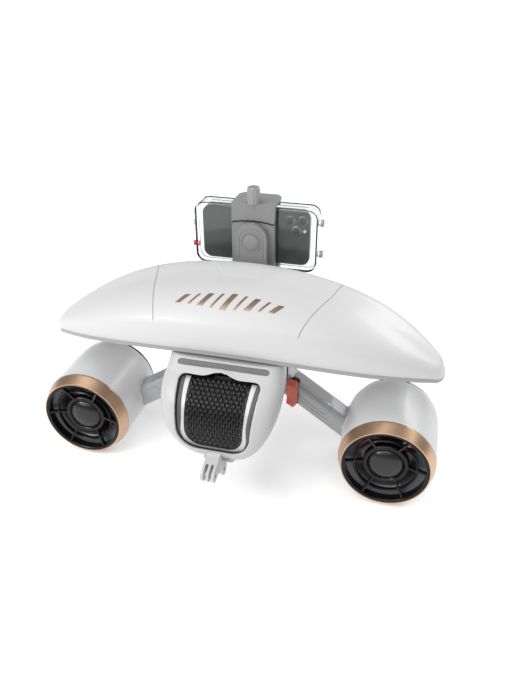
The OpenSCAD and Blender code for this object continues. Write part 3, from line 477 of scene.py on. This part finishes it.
def close_tips(obj, rows, cols):
    """Caps the first and the last row of a grid."""
    bm = bmesh.new()
    bm.from_mesh(obj.data)
    bm.verts.ensure_lookup_table()
    for i in (0, rows - 1):
        bm.faces.new([bm.verts[i * cols + j] for j in range(cols)])
    bmesh.ops.recalc_face_normals(bm, faces=bm.faces)
    bm.to_mesh(obj.data)
    bm.free()


def make_float():
    x, t, reach = skin_grid()
    p = float_point(x, t)
    n = np.cross(np.gradient(p, axis=0), np.gradient(p, axis=1))
    n /= np.maximum(np.linalg.norm(n, axis=-1, keepdims=True), 1e-9)
    if np.mean(np.sign(np.sum(n * (p - np.array([0, 60, 130.0])), -1))) <= 0:
        n = -n
    # groove at the panel seams, and a band that steps in along both lips
    gap = np.abs(reach - SEAM_REACH)
    on_top = np.clip((t - 1.18) / 0.1, 0, 1) * np.clip((3.05 - t) / 0.05, 0, 1)
    groove = 0.75 * np.exp(-(gap / 0.55) ** 2) * on_top
    f = float_frame(x)
    band = (t < LIP_SHARE) | ((p[..., 2] - f.under < f.band_high) & (t > 3))
    inset = 0.45 * band * np.clip((HALF_SPAN - 4 - np.abs(p[..., 0])) / 10, 0, 1)
    p = p - n * (groove + inset)[..., None]
    rows, cols = p.shape[:2]
    o = mesh_object("float_skin", p.reshape(-1, 3), grid_faces(rows, cols), "white")
    close_tips(o, rows, cols)
    o.data.materials.append(M["lip"])
    o.data.materials.append(M["line"])
    on_band = band.reshape(-1)
    on_seam = ((gap < 0.42) & (on_top > 0.6)).reshape(-1)
    # faces of the lip band take the darker grey, which is painted shade; faces of the seam groove take the
    # seam shadow grey
    for poly in o.data.polygons:
        if len(poly.vertices) != 4:
            continue
        if sum(on_band[q] for q in poly.vertices) >= 3:
            poly.material_index = 1
        elif sum(on_seam[q] for q in poly.vertices) >= 3:
            poly.material_index = 2
    thicken(o, 2.4)
    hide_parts("float_cover")
    smooth(o, 60)


def on_float(name, rows, key, lift, thick):
    """A thin patch that follows the float's skin; rows is a grid of plan points."""
    g = np.asarray(rows, float)
    x, y = g[..., 0], g[..., 1]
    z = float_top(x, y)
    e = 0.3
    zx = (float_top(x + e, y) - float_top(x - e, y)) / (2 * e)
    zy = (float_top(x, y + e) - float_top(x, y - e)) / (2 * e)
    n = np.stack([-zx, -zy, np.ones_like(z)], -1)
    n /= np.linalg.norm(n, axis=-1, keepdims=True)
    p = np.stack([x, y, z], -1) + n * lift
    o = mesh_object(name, p.reshape(-1, 3), grid_faces(*x.shape), key)
    thicken(o, thick)
    finish_mesh(o)


def make_rear_panel():
    """The panel behind the float's middle, which narrows to a point at the front."""
    rows = []
    for y in np.linspace(56.0, 116.5, 60):
        half = 41.0 * ((y - 54.5) / 50.0) ** 0.9
        rows.append([(half * q, y) for q in np.linspace(-1, 1, 60)])
    on_float("float_rear_panel", rows, "white", 0.14, 0.9)


def make_bars():
    """A plain band of slanted bars on the float's front slope, wide and narrow by turns."""
    count, pitch, wide, narrow = 9, 13.4, 6.6, 2.97
    for i in range(count):
        step = i - (count - 1) / 2
        width = wide if i % 2 == 0 else narrow
        tall = 24.0 * (1.0 - 0.12 * abs(step))
        rows = []
        for q in np.linspace(-0.5, 0.5, 22):
            middle = step * pitch + 9.0 * q
            rows.append([(middle + width * w, 28.5 + tall * q) for w in np.linspace(-0.5, 0.5, 10)])
        on_float(f"float_bar_{i + 1}", rows, "bronze", 0.16, 0.3)


make_float()
make_rear_panel()
make_bars()


# ------------------------------------------------------------------------ pod

DRUM_R, DRUM_Y, DRUM_Z = 57.0, 8.0, 45.0
POD_LOW, POD_TOP, POD_REAR, BROW_Z, TAPER_Z = -12.0, 112.0, 104.0, 98.0, 85.0


def taper(z, power):
    """Share of the pod's full width or depth that is left at height z."""
    t = min(1, max(0, (TAPER_Z - z) / (TAPER_Z - POD_LOW)))
    return (1 - t ** power) ** (1 / power)


def waist(y):
    """Share of the pod's width that is left towards its rear."""
    t = min(1, max(0, (y - 15) / (POD_REAR - 15)))
    return 1 - 0.28 * t * t * (3 - 2 * t)


def pod_front(z, inset):
    """The pod's front: a drum around the battery, then a brow that leans back."""
    if z < BROW_Z:
        r = DRUM_R - inset
        return DRUM_Y - math.sqrt(max(0, r * r - (z - DRUM_Z) ** 2))
    brow = DRUM_Y - math.sqrt(DRUM_R ** 2 - (BROW_Z - DRUM_Z) ** 2)
    return brow + inset + (z - BROW_Z) * 1.2


def brow_swell(x, z):
    """The brow's rounded hood, which rises to a peak over the battery's latch."""
    edge = 99.6 + 4.6 * math.exp(-(x / 14.0) ** 2)
    fade = math.exp(-(abs(x) / 33.0) ** 4)
    ridge = math.exp(-((z - edge - 0.4) / (2.6 if z > edge + 0.4 else 6.0)) ** 2)
    return 4.4 * fade * ridge * (0.4 + 0.6 * math.exp(-(x / 16.0) ** 2))


def pod_angles():
    """Even spacing across the front, where the brow needs it, and by angle elsewhere."""
    f = np.linspace(-0.9, 0.9, 80)
    front = 2 * math.pi - np.arccos(f ** 3)
    return np.concatenate([np.linspace(0, math.pi, 76), np.linspace(math.pi, front[0], 16)[1:-1], front,
                           np.linspace(front[-1], 2 * math.pi, 16)[1:-1]])


POD_ANGLES = [float(a) for a in pod_angles()]


def pod_loop(z, inset):
    """Outline of the pod at one height, moved inwards by inset."""
    level = min(POD_TOP - inset, max(POD_LOW + inset + 0.2, z))
    half_w = 70 * taper(level - inset * 0.8, 1.8) - inset
    y0 = pod_front(level, inset)
    y1 = DRUM_Y + (POD_REAR - DRUM_Y) * taper(level - inset * 0.8, 2.6) - inset
    out = []
    for a in POD_ANGLES:
        c, s = math.cos(a), math.sin(a)
        y = (y0 + y1) / 2 + max(0.4, (y1 - y0) / 2) * math.copysign(abs(s) ** (1 / 3), s)
        flank = min(1, max(0, (y + 15) / 35))
        slim = 1 - 0.034 * flank * flank * (3 - 2 * flank)
        x = max(0.4, half_w) * waist(y) * slim * math.copysign(abs(c) ** (1 / 3), c)
        if inset < 1 and s < 0 and z < POD_TOP - 4:
            y -= brow_swell(x, z) * min(1, max(0, (-s) * 3))
        out.append((x, y, level))
    return out


def pod_loft(name, inset):
    n = len(POD_ANGLES)
    bottom = POD_LOW + max(inset, 0) + 0.3
    top = POD_TOP - inset
    levels = [TAPER_Z - (TAPER_Z - bottom) * math.cos(math.pi / 2 * i / 46) for i in range(2, 47)]
    levels += list(np.arange(86.5, top - 2.2, 1.5)) + [top - 2, top - 1]
    loops = [pod_loop(z, inset) for z in levels]
    loops.append([(p[0], p[1], top) for p in pod_loop(top, inset + 1)])
    verts = [p for loop in loops for p in loop]
    faces = grid_faces(len(loops), n, close=True)
    faces += [tuple(range(n))[::-1], tuple(range((len(loops) - 1) * n, len(loops) * n))]
    return solid(name, place(verts), faces)


LEAN = math.radians(63.0)
WINDOW_Y, WINDOW_Z = -28.5, 67
SLOT_TILT = math.atan(1.2)
SLOT_Y, SLOT_Z = -0.9, 108


def window_world(points):
    """Window frame (u across, v up the battery, w outwards) to the row frame."""
    c, s = math.cos(LEAN), math.sin(LEAN)
    return place([(u, WINDOW_Y + v * c - w * s, WINDOW_Z + v * s + w * c) for u, v, w in points])


def slot_world(points):
    """Frame of the pod's top slot, tilted like the brow, to the row frame."""
    c, s = math.cos(SLOT_TILT), math.sin(SLOT_TILT)
    return place([(x, SLOT_Y + y * c - z * s, SLOT_Z + y * s + z * c) for x, y, z in points])


def arc(cx, cy, r, a0, a1, n):
    return [(cx + r * math.cos(math.radians(a0 + (a1 - a0) * i / n)),
             cy + r * math.sin(math.radians(a0 + (a1 - a0) * i / n))) for i in range(n + 1)]


def window_outline(extra, n=14):
    """The battery's window, with small upper and large lower corners, grown by extra."""
    half = 46
    return (arc(half - 6, 30, 6 + extra, 90, 0, n)
            + arc(half - 4.5 - 24, -22, 24 + extra, 0, -90, 2 * n)
            + arc(-half + 4.5 + 24, -22, 24 + extra, -90, -180, 2 * n)
            + arc(-half + 6, 30, 6 + extra, 180, 90, n))


def box_cutter(name, low, high):
    (x0, y0, z0), (x1, y1, z1) = low, high
    pts = [(x, y, z) for x in (x0, x1) for y in (y0, y1) for z in (z0, z1)]
    faces = [(0, 1, 3, 2), (4, 6, 7, 5), (0, 4, 5, 1), (2, 3, 7, 6), (0, 2, 6, 4), (1, 5, 7, 3)]
    return solid(name, place(pts), faces)


def rod(name, centre, axis, r, low, high, n=48):
    """Closed cylinder along a world axis, in mm."""
    pts = turned([(r, low), (r, high)], centre, axis, n)
    faces = [tuple(range(n)), tuple(range(n, 2 * n))]
    faces += grid_faces(2, n, close=True)
    return solid(name, place(pts), faces)


WALL = 3.0
HOOD = ((-26, 30), (-21, 36.6), (-13, 39), (-7, 41.6), (0, 42.6), (7, 41.6), (13, 39), (21, 36.6), (26, 30))


def cut_front(part):
    """The battery's window, the notch for its latch and the top slot."""
    boolean(part, prism("window", window_outline(0.9), window_world, -34, 40))
    boolean(part, prism("notch", HOOD, window_world, -34, 40))
    slot_plan = arc(49.8, 0, 3.2, -90, 90, 10) + arc(-49.8, 0, 3.2, 90, 270, 10)
    boolean(part, prism("slot", slot_plan, slot_world, -8, 8))


def cut_rear(part):
    """The lens, the power button, the post's screws and the pod's own screws."""
    boolean(part, box_cutter("lens_hole", (-22.2, 90, 52.8), (22.2, 120, 79.2)))
    boolean(part, rod("button_hole", (36, 66), "y", 6.2, 90, 120))
    for s, _ in SIDES:
        boolean(part, rod("post_hole", (13.4 * s, 98.5), "y", 2.1, 90, 120))
        boolean(part, rod("screw_hole", (40 * s, 96), "y", 3.5, 98.6, 120))
        boolean(part, rod("screw_hole", (28 * s, 30), "y", 3.5, 90, 120))


def make_pod():
    whole = pod_loft("pod_skin", 0)
    boolean(whole, pod_loft("pod_inner", WALL))
    for name, low, high, node, cut in (
            ("pod_front_skin", -120, 40, "pod_front_shell", cut_front),
            ("pod_rear_skin", 41.4, 160, "pod_rear_shell", cut_rear)):
        part = add_object(name, whole.data.copy())
        boolean(part, box_cutter("half", (-120, low, -60), (120, high, 160)), "INTERSECT")
        cut(part)
        remesh(part, 0.85, 3)
        use(part, "shell")
        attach(part, "root")
        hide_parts(node)
    bpy.data.objects.remove(whole)


make_pod()


# -------------------------------------------------------------------- battery

DRUM_V, DRUM_W = -3.0, -42.5        # the battery's drum axis in the window frame
PAD_R, FRAME_R = 50.3, 51.7


def pad_half_width(v):
    """Half width of the grip pad at height v up the window."""
    knee, low = 19.0, -24.0
    if v >= low:
        return 36.0 - 2.5 * max(0, min(1, (60 - v) / 84.0))
    d = low - v
    return 36.0 - 2.5 - knee + math.sqrt(max(0, knee * knee - d * d))


def make_pad():
    """The battery's rubber grip, with rows of raised diamonds."""
    nv, nu = 330, 300
    v_low, v_high = -42.95, 33.8
    pts = np.zeros((nv, nu, 3))
    for i, v in enumerate(np.linspace(v_low, v_high, nv)):
        half = max(0.5, pad_half_width(v) - 0.05)
        for j, q in enumerate(np.linspace(-1, 1, nu)):
            pts[i, j] = (half * q, v, 0)
    u, v = pts[..., 0], pts[..., 1]
    half = np.array([max(0.5, pad_half_width(x)) for x in pts[:, 0, 1]])[:, None]
    cu, cv = 3.0, 4.6
    a, b = u / cu + v / cv, u / cu - v / cv
    diamonds = np.abs(np.sin(math.pi * a / 2) * np.sin(math.pi * b / 2))
    diamonds = np.clip(diamonds * 1.25, 0, 1) ** 1.1
    edge = np.clip((half - np.abs(u)) / 3.0 - 0.35, 0, 1) * np.clip((v - v_low) / 4.0 - 0.3, 0, 1)
    field = edge * np.clip((33.0 - v) / 2.5, 0, 1)
    rim = np.clip(np.minimum(half - np.abs(u), (v - v_low)) / 0.8, 0, 1) ** 0.5
    relief = 0.2 * rim + 2.1 * diamonds * field + 1.4 * (1 - field) * rim - 1.8
    radial = PAD_R + 0.55 + relief
    angle = np.arcsin(np.clip((v - DRUM_V) / (PAD_R + 0.6), -1, 1))
    vv = DRUM_V + radial * np.sin(angle)
    ww = DRUM_W + radial * np.cos(angle)
    p = np.stack([u, vv, ww], -1).reshape(-1, 3)
    o = mesh_object("battery_grip", window_world(p), grid_faces(nv, nu), "rubber", body="battery",
                    metres=True, angle=80)
    finish_mesh(o)
    thicken(o, 1.2)
    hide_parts("battery_pad")


def make_painted_shade_flanks():
    """Painted shade: dark strips laid on the sides of the battery's frame, next to its rails, where the
    recess there is in shadow.
    """
    v = np.linspace(-37.0, 33.6, 90)
    rounded = 17.5 + np.sqrt(np.clip(24.0 ** 2 - (v + 22) ** 2, 0, None))
    half = np.where(v > -22, 41.5 + 4.5 * (v + 22) / 52, rounded) - 0.12
    wide = 1.0 + 4.0 * np.clip((v + 37.0) / 24.0, 0, 1) ** 0.8
    r = FRAME_R + 0.14
    angle = np.arcsin(np.clip((v - DRUM_V) / r, -1, 1))
    for side, label in SIDES:
        rows = []
        for h, w, a in zip(half, wide, angle):
            at = (DRUM_V + r * math.sin(a), DRUM_W + r * math.cos(a))
            rows.append([(side * (h - w * q), *at) for q in np.linspace(0, 1, 6)])
        p = np.asarray(rows).reshape(-1, 3)
        # dark grey sheet just over the frame's face: painted shade beside each rail
        o = mesh_object(f"frame_painted_shade_{label}", window_world(p), grid_faces(len(v), 6), "bay_and_painted_shade",
                        body="battery", metres=True, angle=60)
        thicken(o, 0.3, 0.0)
        finish_mesh(o)


make_pad()
make_painted_shade_flanks()


# ---------------------------------------------------------------- phone clamp

def tube(name, points, radius, key, body="root", closed=False):
    """Round bead along a path, with a soft end."""
    curve = bpy.data.curves.new(name, "CURVE")
    curve.dimensions = "3D"
    curve.bevel_depth = radius * MM
    curve.bevel_resolution = 3
    curve.use_fill_caps = True
    sp = curve.splines.new("POLY")
    pts = place(points)
    sp.points.add(len(pts) - 1)
    for q, p in zip(sp.points, pts):
        q.co = (*p, 1)
    sp.use_cyclic_u = closed
    o = add_object(name, curve)
    me = bpy.data.meshes.new_from_object(o.evaluated_get(bpy.context.evaluated_depsgraph_get()))
    bpy.data.objects.remove(o)
    o = add_object(name, me)
    use(o, key)
    smooth(o, 60)
    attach(o, body)


def lathe(name, profile, centre, axis, key, body, n=64):
    """Solid of revolution; profile is (radius, height along the axis) in mm."""
    verts = turned(profile, centre, axis, n)
    faces = grid_faces(len(profile), n, close=True)
    last = (len(profile) - 1) * n
    if profile[0][0] > 1 and profile[-1][0] > 1:
        faces += [(last + q, last + (q + 1) % n, (q + 1) % n, q) for q in range(n)]
    else:
        faces += [tuple(range(n)), tuple(range(last, last + n))]
    o = mesh_object(name, verts, faces, key, body, angle=40)
    finish_mesh(o)


BUTTON = (0, 206.8)                 # centre of the release button, and of the jaws' joint line
JOINT_Z, JOINT_R = 229.4, 115.9


def make_clamp_details():
    # button with a raised rim, on the round-topped post
    rim = [(10.6, 121.2), (11.4, 120.4), (12.6, 120.3), (13.2, 121.2)]
    lathe("button_rim", rim, BUTTON, "y", "clamp", "root")
    face = [(9.2, 120.4), (8.9, 119.7), (7.4, 119.3), (4.0, 119.15), (0.3, 119.1)]
    lathe("button_face", face, BUTTON, "y", "clamp", "release")
    # arch-shaped raised edge on the post
    r, y = 14.8, 121.0
    top = [(r * math.cos(math.radians(a)), y, 209.5 + r * math.sin(math.radians(a)))
           for a in range(180, -1, -6)]
    tube("post_arch", [(-r, y, 186), *top, (r, y, 186)], 0.55, "clamp", "root")
    # black rubber line between the jaws
    wave = []
    for x in np.linspace(-25.4, 25.4, 60):
        z = JOINT_Z + 0.5 + math.sqrt(JOINT_R ** 2 - x * x) - JOINT_R + 0.25 * math.sin(x * 0.8)
        wave.append((x, 130.4, z))
    tube("jaw_seal", wave, 1.05, "seal", "clamp")


make_clamp_details()


LENSES = ((42.6, 230.4), (58.0, 231.0), (50.4, 218.2))
FLASH = (60.3, 218.2)


def make_phone_details():
    """Lenses and flash on the side of the phone that faces forwards."""
    low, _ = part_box("phone_body")
    y = low.y / MM + MID_Y
    ring = [(6.0, y + 0.6), (6.0, y - 0.5), (5.5, y - 0.9), (4.7, y - 0.9), (4.5, y - 0.4)]
    glass = [(4.5, y), (4.5, y - 0.6), (2.8, y - 0.75), (0.3, y - 0.8)]
    for i, at in enumerate(LENSES):
        lathe(f"lens_ring_{i + 1}", ring, at, "y", "phone_edge", "clamp")
        lathe(f"lens_glass_{i + 1}", glass, at, "y", "lens", "clamp")
    flash = [(1.9, y + 0.3), (1.9, y - 0.25), (0.2, y - 0.3)]
    lathe("flash", flash, FLASH, "y", "glow", "clamp")


make_phone_details()


def make_case_details():
    """Hinge nuts on one side of the phone's case and its latch on the other."""
    nut = [(4.1, 78.6), (4.4, 79.0), (4.4, 81.6), (4.0, 82.1), (1.6, 82.3), (0.3, 82.3)]
    for i, z in enumerate((229.0, 190.0)):
        lathe(f"case_nut_{i + 1}", nut, (146, z), "x", "knob", "clamp", n=12)
    hook = [(-76.4, 146.0, 219.0), (-79.2, 146.0, 218.6), (-79.6, 146.0, 215.4), (-77.6, 146.0, 212.6),
            (-77.4, 146.0, 203.0), (-76.4, 146.0, 202.0)]
    tube("case_latch", hook, 0.55, "knob", "clamp")


make_case_details()


ARM_TURN, ARM_DROP = math.radians(31.2), math.radians(-6.2)
ARM_X, ARM_Y, ARM_Z = 134.4, 71, 2
SEAM_R, SEAM_Y = 55.45, 15.75       # line between a nacelle and its copper ring
END_R, END_Y = 51.3, 105.0          # black line at a nacelle's rear end
INLAY_END, INLAY_R, INLAY_TALL = -28, 6.0, 19.0


def ring_path(side, radius, y):
    """Circle about a thruster's axis."""
    return [(side * THRUSTER_X + radius * math.cos(a), y, radius * math.sin(a))
            for a in np.linspace(0, 2 * math.pi, 120, endpoint=False)]


def on_arm(points, side):
    """Points in an arm's own frame, as points of the part."""
    cy, sy = math.cos(ARM_TURN), math.sin(ARM_TURN)
    cz, sz = math.cos(ARM_DROP), math.sin(ARM_DROP)
    out = []
    for x, y, z in points:
        x, z = x * cy + z * sy, -x * sy + z * cy
        x, y = x * cz - y * sz, x * sz + y * cz
        out.append((side * (ARM_X + x), ARM_Y + y, ARM_Z + z))
    return out


def around_arm(s):
    """Point of the arm's section, s mm up from just over its middle on the front."""
    if s < 4.5:
        return -15.0, 1.5 + s
    a = (s - 4.5) / 8.0
    if a < math.pi / 2:
        return -7.0 - 8.0 * math.cos(a), 6.0 + 8.0 * math.sin(a)
    return -7.0 + (s - 4.5 - 4.0 * math.pi), 14.0


def inlay_plan():
    """The arm's inlay line: out along the arm, round two corners and back, as (x, s)."""
    middle = INLAY_END - INLAY_R
    plan = [(x, 0.0) for x in np.linspace(-90, middle, 16)]
    plan += [(middle + INLAY_R * math.sin(a), INLAY_R - INLAY_R * math.cos(a))
             for a in np.linspace(0.2, math.pi / 2, 7)]
    plan += [(middle + INLAY_R * math.cos(a), INLAY_TALL - INLAY_R + INLAY_R * math.sin(a))
             for a in np.linspace(0, math.pi / 2, 7)]
    plan += [(x, INLAY_TALL) for x in np.linspace(middle - 2, -90, 16)]
    return plan


def make_seams():
    """Parting lines where shells and inserts meet."""
    low = [(x, -15.0, -3.08) for x in np.linspace(-92, -24, 12)]
    inlay = [(x, *around_arm(q)) for x, q in inlay_plan()]
    for side, label in SIDES:
        seam, end = ring_path(side, SEAM_R, SEAM_Y), ring_path(side, END_R, END_Y)
        tube(f"nacelle_seam_{label}", seam, 0.32, "line", "root", closed=True)
        tube(f"nacelle_end_{label}", end, 0.9, "black", "root", closed=True)
        tube(f"arm_seam_{label}", on_arm(low, side), 0.26, "line", "root")
        tube(f"arm_inlay_{label}", on_arm(inlay, side), 0.26, "line", "root")


make_seams()


# ------------------------------------------------------------ camera and room

def look_at(obj, target):
    d = Vector(target) - obj.location
    obj.rotation_euler = d.to_track_quat("-Z", "Y").to_euler()


cam_data = bpy.data.cameras.new("camera")
cam_data.sensor_width = 36.0
cam_data.lens = 34.84
cam_data.clip_start = 0.01
cam_data.clip_end = 20.0
cam = add_object("camera", cam_data)
cam.location = (0.19603, -0.63780, 0.56167)
look_at(cam, (0.0392, -0.05085, 0.20022))
cam.rotation_euler.rotate_axis("Z", math.radians(-0.26))
bpy.context.scene.camera = cam


def area(name, location, target, size, size_y, power):
    d = bpy.data.lights.new(name, "AREA")
    d.shape = "RECTANGLE"
    d.size = size
    d.size_y = size_y
    d.energy = power
    o = add_object(name, d)
    o.location = location
    look_at(o, target)


sun_data = bpy.data.lights.new("soft_sun", "SUN")
sun_data.energy = 2.15
sun_data.angle = math.radians(70)
sun = add_object("soft_sun", sun_data)
sun.location = (-0.6, -0.9, 2.0)
look_at(sun, (0, 0, 0))
area("strip", (-0.9, -0.9, 0.9), (0, 0, 0.12), 0.9, 0.25, 7)
area("rim", (0.9, 0.9, 0.9), (0, 0, 0.15), 0.9, 0.3, 8)

me = bpy.data.meshes.new("floor")
me.from_pydata([(-60, -60, 0), (60, -60, 0), (60, 60, 0), (-60, 60, 0)], [], [(0, 1, 2, 3)])
floor = add_object("floor", me)
floor.location.z = cad_box[0].z - 0.0004
floor_mat = material("floor_pale", (0.93, 0.93, 0.93), 0.75, grain=40, bump=0.0, vary=0.004)
shader = floor_mat.node_tree.nodes["Principled BSDF"]
shader.inputs["Emission Color"].default_value = (1, 1, 1, 1)
shader.inputs["Emission Strength"].default_value = 0.2
floor.data.materials.append(floor_mat)

bpy.context.scene.view_settings.view_transform = "Standard"
world = bpy.data.worlds.new("room")
bpy.context.scene.world = world
world.use_nodes = True
back = world.node_tree.nodes["Background"]
back.inputs["Color"].default_value = (1, 1, 1, 1)
back.inputs["Strength"].default_value = 0.34
